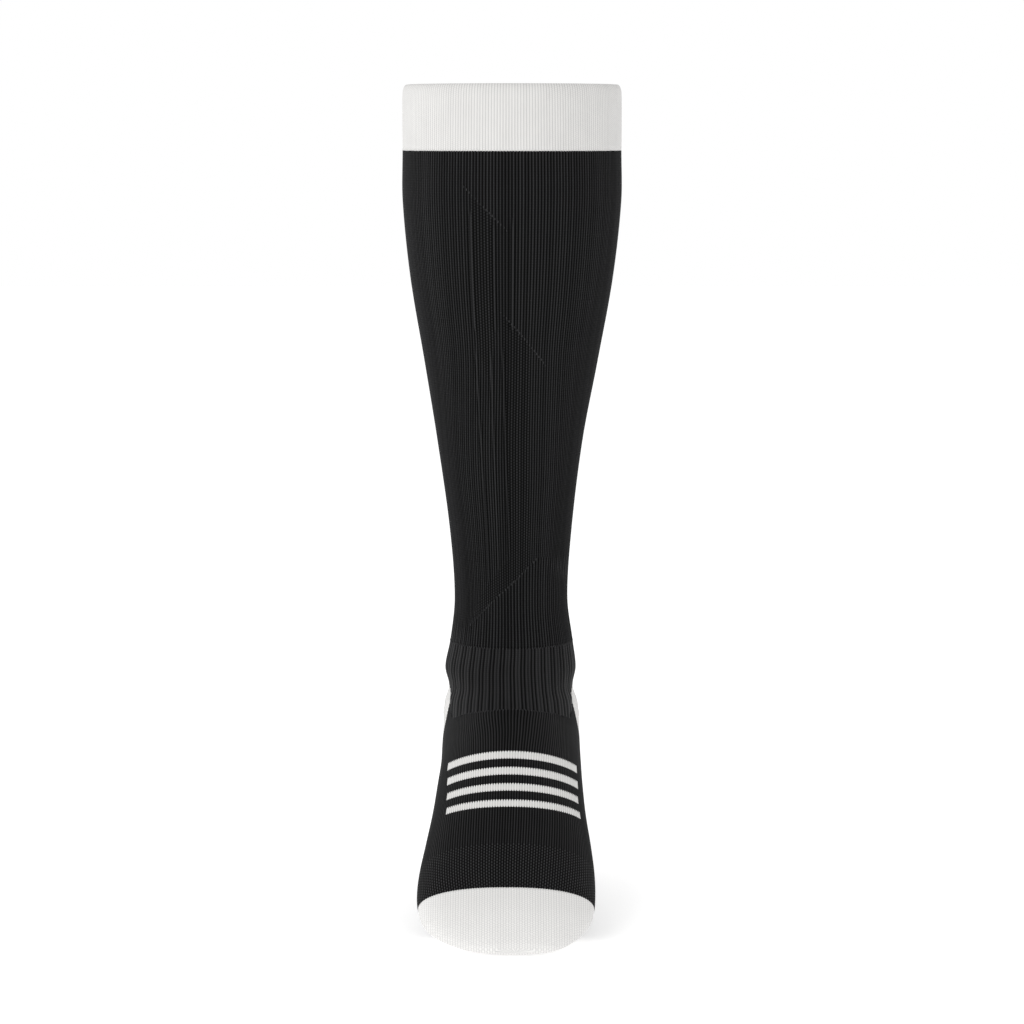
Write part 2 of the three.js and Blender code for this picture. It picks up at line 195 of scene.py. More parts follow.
def cloth(name, grids, closed_loop=False, poles=None):
    """A wall of cloth as a closed mesh. grids are its outside and its inside, each a dict of arrays of
    rows down the sock and columns round it: s, turn and raised place it, wales and drop are its chart,
    and masks are marks that its ribs and its yarn follow. The inside has a whole number of times fewer
    columns. A loop runs on from its last row to its first, and poles are the points on which the two
    layers close instead of a hem at the lower end."""
    labels = sorted({label for grid in grids for label in grid["masks"]})
    points, facings, counts, marks, faces, charts, smooth, rims = [], [], [], [], [], [], [], []
    for layer, grid in enumerate(grids):
        rows, columns = grid["s"].shape
        wraps = abs(grid["turn"][0, -1] - grid["turn"][0, 0] - 1) < 1e-9
        kept = columns - 1 if wraps else columns
        place, facing = skin(grid["s"], grid["turn"], grid["raised"])
        first = sum(len(p) for p in points)
        number = np.arange(rows * kept).reshape(rows, kept) + first
        if wraps:
            number = np.concatenate([number, number[:, :1]], axis=1)
        points.append(place[:, :kept].reshape(-1, 3))
        facings.append(facing[:, :kept].reshape(-1, 3))
        counts.append(grid["wales"][:, :kept].ravel())
        plain = np.zeros((rows, columns))
        marks.append(np.stack([grid["masks"].get(label, plain)[:, :kept].ravel() for label in labels]))
        chart = np.stack([grid["wales"], grid["drop"]], axis=-1)
        if closed_loop:
            number = np.concatenate([number, number[:1]])
            chart = np.concatenate([chart, 2 * chart[-1:] - chart[-2:-1]])
        corners = [(0, 0), (1, 0), (1, 1), (0, 1)] if layer == 0 else [(0, 0), (0, 1), (1, 1), (1, 0)]
        r, c = number.shape
        quads = np.stack([number[a:r - 1 + a, b:c - 1 + b] for a, b in corners], axis=-1).reshape(-1, 4)
        around = np.stack([chart[a:r - 1 + a, b:c - 1 + b] for a, b in corners], axis=2).reshape(-1, 4, 2)
        faces.extend(quads.tolist())
        charts.append(around.reshape(-1, 2))
        smooth.extend([True] * len(quads))
        if poles:
            points.append(np.array([poles[layer]]))
            facings.append(facing[-1:, :kept].mean(axis=1))
            counts.append(np.zeros(1))
            marks.append(np.zeros((len(labels), 1)))
            pole = int(first + rows * kept)
            for j in range(c - 1):
                pair = [int(number[-1, j]), int(number[-1, j + 1])]
                faces.append([pair[0], pole, pair[1]] if layer == 0 else [pair[1], pole, pair[0]])
                near = [chart[-1, j], chart[-1, j] * 0.5 + chart[-1, j + 1] * 0.5, chart[-1, j + 1]]
                charts.append(np.array(near if layer == 0 else near[::-1]))
                smooth.append(True)
        rims.append((number, chart))
    if not closed_loop:
        (outer, outer_chart), (inner, inner_chart) = rims
        times = (outer.shape[1] - 1) // (inner.shape[1] - 1)
        for row in (0,) if poles else (0, -1):
            for j in range(inner.shape[1] - 1):
                ring = slice(j * times, (j + 1) * times + 1)
                face = [int(k) for k in outer[row, ring]] + [int(inner[row, j + 1]), int(inner[row, j])]
                chart = np.concatenate([outer_chart[row, ring], inner_chart[row, [j + 1, j]]])
                faces.append(face if row == 0 else face[::-1])
                charts.append(chart if row == 0 else chart[::-1])
                smooth.append(False)
    mesh = bpy.data.meshes.new(name)
    mesh.from_pydata((np.concatenate(points) * MM).tolist(), [], faces)
    mesh.polygons.foreach_set("use_smooth", smooth)
    uv = mesh.uv_layers.new(name="knit chart")
    uv.data.foreach_set("uv", np.concatenate(charts).astype(np.float32).ravel())
    fields = [("wale", "FLOAT", "value", np.concatenate(counts))]
    fields.append(("facing", "FLOAT_VECTOR", "vector", np.concatenate(facings)))
    fields += [(label, "FLOAT", "value", row) for label, row in zip(labels, np.concatenate(marks, axis=1))]
    for label, kind, field, values in fields:
        attribute = mesh.attributes.new(label, kind, "POINT")
        attribute.data.foreach_set(field, values.astype(np.float32).ravel())
    return in_scene(name, mesh)


def add(tree, kind, links=None, **settings):
    """Adds a node with its settings. links says what its inputs take: a value, another node's first
    output, or a socket."""
    node = tree.nodes.new(kind)
    for setting, value in settings.items():
        setattr(node, setting, value)
    for key, source in (links or {}).items():
        if isinstance(source, bpy.types.Node):
            source = source.outputs[0]
        if isinstance(source, bpy.types.NodeSocket):
            tree.links.new(source, node.inputs[key])
        else:
            node.inputs[key].default_value = source
    return node


def bend(curve, profile):
    """Bends a curve node through the points of a profile, with straight lines between them."""
    points = curve.mapping.curves[0].points
    while len(points) < len(profile):
        points.new(0.5, 0.5)
    for point, place in zip(points, profile):
        point.location = place
        point.handle_type = "VECTOR"
    curve.mapping.update()


def linear(code):
    """The linear colour, with its alpha, of an sRGB hex value."""
    shares = [int(code[k:k + 2], 16) / 255 for k in (1, 3, 5)]
    return [c / 12.92 if c <= 0.04045 else ((c + 0.055) / 1.055) ** 2.4 for c in shares] + [1]


def new_tree(name, inputs, made):
    """A Geometry Nodes tree with its named inputs and the one geometry that it makes."""
    tree = bpy.data.node_groups.new(name, "GeometryNodeTree")
    for label, kind in inputs.items():
        tree.interface.new_socket(label, in_out="INPUT", socket_type="NodeSocket" + kind)
    tree.interface.new_socket(made, in_out="OUTPUT", socket_type="NodeSocketGeometry")
    return tree, add(tree, "NodeGroupInput").outputs


def make_rib_tree(name, profile):
    """A tree that sinks the grooves between the ribs of a wall. profile gives the share of a rib's
    width and how deep the cloth lies there, from 0 on the crown to 1 in the groove."""
    tree, given = new_tree(name, {
        "Wall": "Geometry", "Rib count": "String", "Groove depth": "Float", "Mask": "String", "Yarn": "Material",
    }, "Wall")
    count = add(tree, "GeometryNodeInputNamedAttribute", {"Name": given["Rib count"]}, data_type="FLOAT")
    mask = add(tree, "GeometryNodeInputNamedAttribute", {"Name": given["Mask"]}, data_type="FLOAT")
    facing = add(tree, "GeometryNodeInputNamedAttribute", {"Name": "facing"}, data_type="FLOAT_VECTOR")
    share = add(tree, "ShaderNodeMath", {0: count}, operation="FRACT")
    depth = add(tree, "ShaderNodeFloatCurve", {"Value": share})
    bend(depth, profile)
    sunk = add(tree, "ShaderNodeMath", {0: depth, 1: given["Groove depth"]}, operation="MULTIPLY")
    kept = add(tree, "ShaderNodeMath", {0: sunk, 1: mask}, operation="MULTIPLY")
    inward = add(tree, "ShaderNodeMath", {0: kept, 1: -1.0}, operation="MULTIPLY")
    offset = add(tree, "ShaderNodeVectorMath", {0: facing, "Scale": inward}, operation="SCALE")
    moved = add(tree, "GeometryNodeSetPosition", {"Geometry": given["Wall"], "Offset": offset})
    real = add(tree, "GeometryNodeRealizeInstances", {0: moved})
    painted = add(tree, "GeometryNodeSetMaterial", {"Geometry": real, "Material": given["Yarn"]})
    add(tree, "NodeGroupOutput", {0: painted})
    return tree


def run_tree(obj, tree, values):
    """Runs a Geometry Nodes tree on an object and keeps what it makes as the object's plain mesh."""
    modifier = obj.modifiers.new(tree.name, "NODES")
    modifier.node_group = tree
    for item in tree.interface.items_tree:
        if item.in_out == "INPUT" and item.name in values:
            modifier[item.identifier] = values[item.name]
    graph = bpy.context.evaluated_depsgraph_get()
    made = bpy.data.meshes.new_from_object(obj.evaluated_get(graph))
    obj.modifiers.clear()
    spare = obj.data
    obj.data = made
    bpy.data.meshes.remove(spare)
    made.name = obj.name


def sink_ribs(piece, tree, depth, yarn, count="wale", mask="ribbed"):
    """Sinks the grooves of a piece's ribs by a depth in millimetres, and gives the piece its yarn."""
    run_tree(piece, tree, {"Rib count": count, "Groove depth": depth * MM, "Mask": mask, "Yarn": yarn})


def new_material(name):
    """A new material with an empty tree."""
    material = bpy.data.materials.new(name)
    material.use_nodes = True
    material.node_tree.nodes.clear()
    return material, material.node_tree


def start_yarn(name):
    """A new material with its tree and its chart: the wale, and the millimetres down the cloth."""
    material, tree = new_material(name)
    chart = add(tree, "ShaderNodeUVMap", uv_map="knit chart")
    parts = add(tree, "ShaderNodeSeparateXYZ", {0: chart})
    return material, tree, parts.outputs[0], parts.outputs[1]


def loops(tree, wales, drop, profile, course, beaded, leaning=0.0, staggered=0.0, pitted=0.0):
    """How high the yarn of a knit stands, from 0 in its grooves to 1 on its crowns. profile says how
    deep it lies across a wale and course how long a loop is in millimetres. beaded is how far it sinks
    between two loops, leaning how much their legs slant, staggered how far out of step each second
    wale is, and pitted how far the loops fill the grooves, so that only pits stay between them."""
    share = add(tree, "ShaderNodeMath", {0: wales}, operation="FRACT")
    groove = add(tree, "ShaderNodeFloatCurve", {"Value": share})
    bend(groove, profile)
    off = add(tree, "ShaderNodeMath", {0: share, 1: 0.5}, operation="SUBTRACT")
    side = add(tree, "ShaderNodeMath", {0: off}, operation="ABSOLUTE")
    strand = add(tree, "ShaderNodeMath", {0: wales}, operation="FLOOR")
    second = add(tree, "ShaderNodeMath", {0: strand, 1: 2.0}, operation="FLOORED_MODULO")
    along = add(tree, "ShaderNodeMath", {0: drop, 1: 1 / course}, operation="MULTIPLY")
    slanted = add(tree, "ShaderNodeMath", {0: side, 1: 2 * leaning, 2: along}, operation="MULTIPLY_ADD")
    stepped = add(tree, "ShaderNodeMath", {0: second, 1: staggered, 2: slanted}, operation="MULTIPLY_ADD")
    phase = add(tree, "ShaderNodeMath", {0: stepped, 1: math.pi}, operation="MULTIPLY")
    wave = add(tree, "ShaderNodeMath", {0: phase}, operation="SINE")
    bead = add(tree, "ShaderNodeMath", {0: wave, 1: wave}, operation="MULTIPLY")
    gap = add(tree, "ShaderNodeMath", {0: bead, 1: -pitted, 2: 1.0}, operation="MULTIPLY_ADD")
    pit = add(tree, "ShaderNodeMath", {0: groove, 1: gap}, operation="MULTIPLY")
    crown = add(tree, "ShaderNodeMath", {0: 1.0, 1: pit}, operation="SUBTRACT")
    sunk = add(tree, "ShaderNodeMath", {0: bead, 1: beaded, 2: 1 - beaded}, operation="MULTIPLY_ADD")
    return add(tree, "ShaderNodeMath", {0: crown, 1: sunk}, operation="MULTIPLY")


BASE_TONE = 0.88
CLOUD = 0.24


def finish_yarn(tree, wales, height, dark, light, relief, uneven, gloss, sheen):
    """The yarn's colour, from a dark colour in the grooves, which is painted shade, to the yarn's own light
    colour on the crowns, with wales that are not all alike, its relief in millimetres, and its soft sheen."""
    strand = add(tree, "ShaderNodeMath", {0: wales}, operation="FLOOR")
    chance = add(tree, "ShaderNodeTexWhiteNoise", {"W": strand}, noise_dimensions="1D")
    place = add(tree, "ShaderNodeTexCoord").outputs["Object"]
    cloud = add(tree, "ShaderNodeTexNoise", {"Vector": place, "Scale": 90.0, "Detail": 3.0})
    even = BASE_TONE - uneven / 2
    tone = add(tree, "ShaderNodeMath", {0: chance, 1: uneven, 2: even}, operation="MULTIPLY_ADD")
    tone = add(tree, "ShaderNodeMath", {0: cloud, 1: CLOUD, 2: tone}, operation="MULTIPLY_ADD")
    # Painted shade: the lower the yarn lies, the darker its colour, down to the dark colour in the grooves
    lifted = add(tree, "ShaderNodeMath", {0: height, 1: tone}, operation="MULTIPLY")
    colour = add(
        tree, "ShaderNodeMix", {"Factor": lifted, 6: dark, 7: light}, data_type="RGBA", clamp_factor=True
    )
    bump = add(tree, "ShaderNodeBump", {"Height": height, "Distance": relief * MM, "Strength": 1.0})
    shader = add(tree, "ShaderNodeBsdfPrincipled", {
        "Base Color": colour.outputs[2],
        "Normal": bump,
        "Roughness": 0.6,
        "Specular IOR Level": gloss,
        "Sheen Weight": sheen,
        "Sheen Roughness": 0.4,
    })
    add(tree, "ShaderNodeOutputMaterial", {"Surface": shader})


# Painted shade: the grey colours of the pits between the loops of the white knit, for the toe and for the welt
WHITE_PIT_SHADE = linear("#c4c3c2")
WHITE_LIGHT = linear("#eeedeb")
WELT_PIT_SHADE = linear("#a8a7a6")
WELT_LIGHT = linear("#e0dfdd")
WHITE_SHINE = {"gloss": 0.15, "sheen": 0.15}
# Real courses are finer. These are two pixels of the render tall, the finest that still show.
COURSE = 1.05
WELT_WALES = 240
POINTS_PER_WALE = 4
TOOTH = 0.4
WALE_PROFILE = [(0, 1), (0.2, 0.25), (0.5, 0), (0.8, 0.25), (1, 1)]

# White polyamide with a little elastane, plain knitted on a circular machine: clean, matt and a little fuzzy,
# with rows of small pits between its columns of loops, painted grey as shade
white_knit, tree, wales, drop = start_yarn("white polyamide, plain knitted")
height = loops(tree, wales, drop, WALE_PROFILE, COURSE, 0.1, leaning=0.4, staggered=0.5, pitted=0.8)
finish_yarn(
    tree, wales, height, WELT_PIT_SHADE, WELT_LIGHT, relief=0.12, uneven=0.08, **WHITE_SHINE
)

wale_tree = make_rib_tree("knitted wales", WALE_PROFILE)


def toothed(turn, wales_round):
    """How far up a border steps at each wale, where the loops of one yarn hang in the other's."""
    return TOOTH * np.sin(math.pi * wales_round * turn) ** 2


def even_turns(count):
    """Turns round the sock from the middle of its back, past its front, to the back again."""
    return np.linspace(-0.5, 0.5, count + 1)


FOLD_HEIGHT = 5.6
FOLD_CREST = 2.2


def welt_rows():
    """The welt's profile as stations and heights: down its outside from the fold, then up its inside."""
    end = STATION["cuff_end"]
    outer = np.radians(np.linspace(0, 90, 7))[:-1]
    inner = np.radians(np.linspace(90, 180, 5))
    fold = [(FOLD_HEIGHT * (1 - math.sin(a)), -FOLD_CREST * (1 - math.cos(a))) for a in outer]
    fold += [(1 - math.sin(a), -FOLD_CREST + (WELT - FOLD_CREST) * math.cos(a)) for a in inner]
    inside = [(end * k, -WELT) for k in (0.15, 0.5, 0.85, 1)]
    outside = [(end * k, 0.1 * math.sin(math.pi * k)) for k in np.linspace(1, 0.2, 11)]
    return np.array(outside + fold + inside)


profile = welt_rows()
turns = even_turns(WELT_WALES * POINTS_PER_WALE)
rise = np.where(profile[:, :1] > STATION["cuff_end"] - 0.01, toothed(turns, WELT_WALES)[None], 0)
drops = np.concatenate([[0], np.cumsum(np.linalg.norm(np.diff(profile, axis=0), axis=1))])
shape = (len(profile), len(turns))
welt = {
    "s": np.broadcast_to(profile[:, :1] - rise, shape)[::-1],
    "turn": np.broadcast_to(turns, shape),
    "raised": np.broadcast_to(profile[:, 1:], shape)[::-1],
    "wales": np.broadcast_to(turns * WELT_WALES, shape),
    "drop": np.broadcast_to(drops[:, None], shape)[::-1],
    "masks": {"ribbed": np.ones(shape)},
}
cuff = cloth("folded_welt", [welt], closed_loop=True)
sink_ribs(cuff, wale_tree, 0.06, white_knit)
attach(cuff, "root")
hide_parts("cuff")


# The leg. A black tube of fine vertical ribs from the welt to the ankle band, knitted in one with
# them. Over the shin runs a body-mapped zone of small tuck stitches, closed by slanting rows of
# transferred loops, and under it the ribs are doubled so that they grip the ankle.
# Painted shade: the near-black colour of the grooves between the ribs' crowns
BLACK_GROOVE_SHADE = linear("#010101")
BLACK_LIGHT = linear("#313132")
RIB_PROFILE = [
    (0, 1), (0.14, 0.95), (0.28, 0.6), (0.4, 0.14), (0.5, 0), (0.6, 0.14), (0.72, 0.6), (0.86, 0.95), (1, 1)
]
BLACK_SHINE = {"gloss": 0.045, "sheen": 0.03}
LEG_RIBS = 216
GRIP_RIBS = 126
RIB_COURSE = 1.3
TUCK_COURSE = 1.5
WALE_WIDTH = 1.35

# Places on the leg's chart: the wale from the middle of the front, and millimetres under the welt
FIRST_SLANT = [(-17.2, 17.5), (-1.2, 41.5)]
SECOND_SLANT = [(-4.3, 82.7), (14.8, 112.7)]
THIRD_SLANT = [(-28.4, 254.7), (16.3, 216.0)]
TUCKED_PATCHES = [
    [(-14, 22.3), (-6, 34.3), (-6, 96), (-10, 120), (-14, 96)],
    [(-3.6, 83.8), (7.3, 101), (11.8, 219.9), (-0.7, 230.8)],
    [(-28, 253), (-20.6, 238), (-0.7, 215.5), (-0.7, 230.8)],
]
STRONG_RIBS = [
    [(-14.3, 30), (-14.3, 93)],
    [(-6.1, 36), (-6.1, 93)],
    [(0.3, 35), (0.3, 93)],
    [(-14.4, 103), (-13.9, 229.7)],
    [(-8.2, 103), (-7.3, 222.7)],
    [(-3.4, 103), (-0.7, 215.5)],
]


# A strong rib stands up in the yarn's height and the channels beside it sink in it, which bumps the surface and
# paints shade into the channels' colour
STRONG_RISE = 0.8
STRONG_HEIGHT = 0.7
CHANNEL_SINK = 0.6
CHANNEL_OFF = 0.8
RIB_SPREAD = 0.3
NARROWS_FROM = 95
NARROWS_OVER = 90
FRONT_WIDENED = 0.27


def inside(patch, wales, drop):
    """How many millimetres a place lies inside a patch of the chart, and less than 0 outside it."""
    nearest = np.full(wales.shape, np.inf)
    for (wale, down), (next_wale, next_down) in zip(patch, patch[1:] + patch[:1]):
        run = (next_wale - wale) * WALE_WIDTH
        fall = next_down - down
        off = run * (drop - down) - fall * (wales - wale) * WALE_WIDTH
        nearest = np.minimum(nearest, off / math.hypot(run, fall))
    return nearest


def strength(wales, drop):
    """1 on a strong rib, less than 0 in the channel at each side of it, where the yarn's colour gets painted
    shade, 0 elsewhere.
    """
    total = np.zeros(wales.shape)
    for (wale, down), (next_wale, next_down) in STRONG_RIBS:
        centre = wale + (next_wale - wale) * (drop - down) / (next_down - down)
        off = np.abs(wales - centre)
        ends = np.clip((drop - down) / 4, 0, 1) * np.clip((next_down - drop) / 2, 0, 1)
        rib = STRONG_RISE * np.exp(-(off / RIB_SPREAD) ** 2)
        channel = CHANNEL_SINK * np.exp(-((off - CHANNEL_OFF) / RIB_SPREAD) ** 2)
        total += (rib - channel) * ends
    return total


def doubled_below(wales):
    """How far down the ribs are doubled: along the third slant at the front, the same way at the
    back, and level at the sides."""
    (low_wale, low), (high_wale, high) = THIRD_SLANT
    half = WELT_WALES / 2
    places = [-half, low_wale - half + high_wale - low_wale, low_wale, high_wale, half + low_wale, half]
    middle_back = (low + high) / 2
    return np.interp(wales, places, [middle_back, low, low, high, high, middle_back])


def leg_masks(turn, drop):
    """The leg's marks: its patches and doubled ribs as millimetres from their edges, and the rest as
    shares. The doubled ribs begin sharply on the slants and little by little at the sides."""
    wales = turn * WELT_WALES
    tucked = np.max([inside(patch, wales, drop) for patch in TUCKED_PATCHES], axis=0)
    sideways = np.interp(np.abs(wales - 6), [15, 40, 80, 105], [1, 10, 10, 1])
    doubled = (drop - doubled_below(wales)) / sideways
    strong = strength(wales, drop)
    fine = np.clip(1 - doubled / 2.5, 0, 1) * np.clip(1 - (tucked + 0.7) / 1.4, 0.25, 1)
    return {
        "tucked": tucked,
        "doubled": doubled,
        "strong": strong,
        "ribbed": fine * (1 - np.clip(np.abs(strong), 0, 1)),
        "gripping": np.clip(doubled / 2.5, 0, 1),
        "grip rib": turn * GRIP_RIBS,
    }


def widened(turn, s):
    """Where a column of the leg lies further down: the ribs over the shin keep their width while the
    leg narrows, and those behind it close up."""
    grown = np.clip((s - STATION["cuff_end"] - NARROWS_FROM) / NARROWS_OVER, 0, 1)
    grown = grown ** 2 * (3 - 2 * grown)
    return turn + FRONT_WIDENED * grown * np.sin(2 * math.pi * turn) / (2 * math.pi)


# Black polyamide, rib knitted: matt and dark grey on the crowns, with painted shade that makes the grooves near
# black
black_ribs, tree, wales, drop = start_yarn("black polyamide, rib knitted")
ribs = loops(tree, wales, drop, RIB_PROFILE, RIB_COURSE, 0.3)
tucks = loops(tree, wales, drop, RIB_PROFILE, TUCK_COURSE, 0.7, staggered=0.5)
grip_rib = add(tree, "ShaderNodeAttribute", attribute_name="grip rib").outputs["Fac"]
grips = loops(tree, grip_rib, drop, RIB_PROFILE, RIB_COURSE, 0.3)
tucked = add(tree, "ShaderNodeAttribute", attribute_name="tucked").outputs["Fac"]
tucked = add(tree, "ShaderNodeMapRange", {"Value": tucked, "From Min": -0.4, "From Max": 0.4})
doubled = add(tree, "ShaderNodeAttribute", attribute_name="doubled").outputs["Fac"]
doubled = add(tree, "ShaderNodeMapRange", {"Value": doubled, "From Min": -0.3, "From Max": 0.3})
strong = add(tree, "ShaderNodeAttribute", attribute_name="strong").outputs["Fac"]
height = add(tree, "ShaderNodeMix", {"Factor": tucked, 2: ribs, 3: tucks})
height = add(tree, "ShaderNodeMix", {"Factor": doubled, 2: height, 3: grips})
height = add(
    tree, "ShaderNodeMath", {0: strong, 1: STRONG_HEIGHT, 2: height}, operation="MULTIPLY_ADD", use_clamp=True
)
finish_yarn(
    tree, wales, height, BLACK_GROOVE_SHADE, BLACK_LIGHT, relief=0.16, uneven=0.45, **BLACK_SHINE
)

rib_tree = make_rib_tree("vertical ribs", RIB_PROFILE)


FROM_EDGE = ("tucked", "doubled")


def shares(count, edge):
    """The rows of a tube as shares of the way down it: evenly laid, with one more close to each end so
    that the cloth keeps its own shading up to its edge."""
    return [0, *np.linspace(edge, 1 - edge, count), 1]


def tube_grids(top, bottom, turns, rows, wales_round, fewer, masks, lay=None):
    """The outside and the inside of a tube between two borders, each given as a station for each turn.
    rows are the shares of the way down at which the outside has its rows. masks gives its marks, and
    lay moves a column of the cloth to another turn as it goes down."""
    grids = []
    for layer, (these, parts) in enumerate(((turns, rows), (turns[::fewer], np.linspace(0, 1, 11)))):
        high, low = top(these), bottom(these)
        s = high + (low - high) * np.asarray(parts)[:, None]
        around = np.broadcast_to(these, s.shape)
        drop = s - STATION["cuff_end"]
        laid = lay(around, s) if lay else around
        found = masks(laid, drop)
        if layer == 1:
            found = {label: np.full(s.shape, -9.0 * (label in FROM_EDGE)) for label in found}
        tucked_in = 0.25 * np.clip(-drop / 0.3, 0, 1)
        grids.append({
            "s": s,
            "turn": laid,
            "raised": 0.2 * np.clip(found.get("strong", 0), 0, 1) - tucked_in - WALL * layer,
            "wales": around * wales_round,
            "drop": drop,
            "masks": found,
        })
    return grids


GAP = 0.02
LEG_ROWS = [0, 0.0026, 0.0052, *np.linspace(0.015, 0.76, 60)[:-1], *np.linspace(0.76, 1, 38)]
leg = cloth("ribbed_leg", tube_grids(
    lambda turn: np.full(turn.shape, STATION["cuff_end"] - 0.7),
    lambda turn: np.full(turn.shape, STATION["band_start"] - GAP),
    even_turns(LEG_RIBS * POINTS_PER_WALE), LEG_ROWS, LEG_RIBS, 8, leg_masks, widened,
))
sink_ribs(leg, rib_tree, 0.34, black_ribs)
sink_ribs(leg, rib_tree, 0.5, black_ribs, count="grip rib", mask="gripping")
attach(leg, "root")
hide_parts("leg")


def make_stitch_tree():
    """A tree that lays one loop of yarn on each point of a path, along the path and on the cloth."""
    tree, given = new_tree("row of stitches", {
        "Path": "Geometry", "Loop length": "Float", "Loop width": "Float", "Loop height": "Float",
        "Yarn": "Material",
    }, "Stitches")
    facing = add(tree, "GeometryNodeInputNamedAttribute", {"Name": "facing"}, data_type="FLOAT_VECTOR")
    along = add(tree, "GeometryNodeInputNamedAttribute", {"Name": "along"}, data_type="FLOAT_VECTOR")
    turned = add(
        tree, "FunctionNodeAxesToRotation", {0: facing, 1: along}, primary_axis="Z", secondary_axis="X"
    )
    size = add(tree, "ShaderNodeCombineXYZ", {
        0: given["Loop length"], 1: given["Loop width"], 2: given["Loop height"],
    })
    bead = add(tree, "GeometryNodeMeshUVSphere", {"Segments": 8, "Rings": 5, "Radius": 0.5})
    laid = add(tree, "GeometryNodeInstanceOnPoints", {
        "Points": given["Path"], "Instance": bead, "Rotation": turned, "Scale": size,
    })
    real = add(tree, "GeometryNodeRealizeInstances", {0: laid})
    rounded = add(tree, "GeometryNodeSetShadeSmooth", {0: real})
    painted = add(tree, "GeometryNodeSetMaterial", {"Geometry": rounded, "Material": given["Yarn"]})
    add(tree, "NodeGroupOutput", {0: painted})
    return tree


stitch_tree = make_stitch_tree()


def stitches(name, paths, pitch, size, raised, yarn, upright=False):
    """Rows of stitches along paths of turns and stations, one each pitch, as one piece of mesh. They
    lie along the path, or upright on the ribs that they close."""
    places, facings, ways = [], [], []
    for turns, downs in paths:
        fine = np.linspace(0, len(turns) - 1, 400)
        turn = np.interp(fine, np.arange(len(turns)), turns)
        s = np.interp(fine, np.arange(len(turns)), downs)
        place, facing = skin(s, turn, raised)
        run = np.concatenate([[0], np.cumsum(np.linalg.norm(np.diff(place, axis=0), axis=1))])
        at = np.arange(0.5, round(run[-1] / pitch)) * run[-1] / round(run[-1] / pitch)
        way = skin(s + 1, turn)[0] - skin(s, turn)[0] if upright else np.gradient(place, axis=0)
        for found, values in ((places, place), (facings, facing), (ways, way)):
            found.append(np.stack([np.interp(at, run, values[:, k]) for k in range(3)], axis=1))
    mesh = bpy.data.meshes.new(name)
    mesh.from_pydata((np.concatenate(places) * MM).tolist(), [], [])
    for label, values in (("facing", facings), ("along", ways)):
        attribute = mesh.attributes.new(label, "FLOAT_VECTOR", "POINT")
        attribute.data.foreach_set("vector", np.concatenate(values).astype(np.float32).ravel())
    obj = in_scene(name, mesh)
    run_tree(obj, stitch_tree, {
        "Loop length": size[0] * MM,
        "Loop width": size[1] * MM,
        "Loop height": size[2] * MM,
        "Yarn": yarn,
    })
    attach(obj, "root")
    return obj


def single_yarn(name, dark, light, gloss, sheen):
    """The yarn of a single loop: two plies that show as fine slanting lines of light and dark, the dark lines
    being painted shade between the plies.
    """
    material, tree = new_material(name)
    place = add(tree, "ShaderNodeTexCoord").outputs["Object"]
    plies = add(tree, "ShaderNodeTexWave", {"Vector": place, "Scale": 500.0, "Distortion": 2.0})
    ply = plies.outputs["Fac"]
    colour = add(tree, "ShaderNodeMix", {"Factor": ply, 6: dark, 7: light}, data_type="RGBA")
    bump = add(tree, "ShaderNodeBump", {"Height": ply, "Distance": 0.05 * MM})
    shader = add(tree, "ShaderNodeBsdfPrincipled", {
        "Base Color": colour.outputs[2],
        "Normal": bump,
        "Roughness": 0.85,
        "Specular IOR Level": gloss,
        "Sheen Weight": sheen,
    })
    add(tree, "ShaderNodeOutputMaterial", {"Surface": shader})
    return material


# Black polyamide yarn, two plies twisted: matt, with a faint slanting line of painted shade where the plies lie
black_yarn = single_yarn(
    "black polyamide yarn, two plies", linear("#181819"), linear("#414142"), **BLACK_SHINE
)


def on_leg(path):
    """A path of the leg's chart as turns and stations."""
    return [wale / WELT_WALES for wale, _ in path], [STATION["cuff_end"] + drop for _, drop in path]


slants = stitches(
    "slanting_stitches", [on_leg(path) for path in (FIRST_SLANT, SECOND_SLANT, THIRD_SLANT)],
    pitch=2.1, size=(1.5, 0.65, 0.6), raised=-0.12, yarn=black_yarn, upright=True,
)

# The ankle band. Broad and narrow ribs in turn, knitted tighter than the leg so that the sock presses
# most here. It opens at the back over the heel pocket, and a row of held stitches marks each edge.
ANKLE_GROUPS = 30
GROUP_POINTS = 18
SIDE_WIDENED = 0.4
GROUP_PROFILE = [
    (0, 1), (0.055, 0.85), (0.11, 0.25), (0.167, 0), (0.222, 0.25), (0.278, 0.85), (0.333, 1), (0.389, 0.8),
    (0.444, 0.2), (0.5, 0), (0.555, 0.1), (0.611, 0.5), (0.667, 0.68), (0.722, 0.5), (0.778, 0.1), (0.833, 0),
    (0.889, 0.2), (0.944, 0.8), (1, 1),
]
HEEL = {"corner": 0.2, "rise": 10.7, "over": 20.3, "over_blunt": 0.39, "under": 40.7, "under_blunt": 0.82}


SEAM_TURN = 0.03


def heel_spread(turn, blunt):
    """How far a heel border has spread behind the pocket's corner, from 0 to 1 at the middle back."""
    reach = (np.abs(turn) - HEEL["corner"]) / (0.5 - HEEL["corner"])
    return np.where(reach > 0, np.sin(math.pi / 2 * np.clip(reach, 0, 1)) ** blunt, 0)


def seam(turn):
    """Where the band meets the foot: level round the front, then up to the heel pocket's corner."""
    up = np.clip((np.abs(turn) - HEEL["corner"] + SEAM_TURN) / SEAM_TURN, 0, 1)
    return STATION["band_end"] - HEEL["rise"] * up ** 2 * (3 - 2 * up)


def band_end(turn):
    """The band's lower edge: the seam, and behind the corner the heel pocket's upper edge."""
    return seam(turn) - HEEL["over"] * heel_spread(turn, HEEL["over_blunt"])


def foot_start(turn):
    """The foot's upper edge: the seam, and behind the corner the heel pocket's lower edge."""
    return seam(turn) + HEEL["under"] * heel_spread(turn, HEEL["under_blunt"])


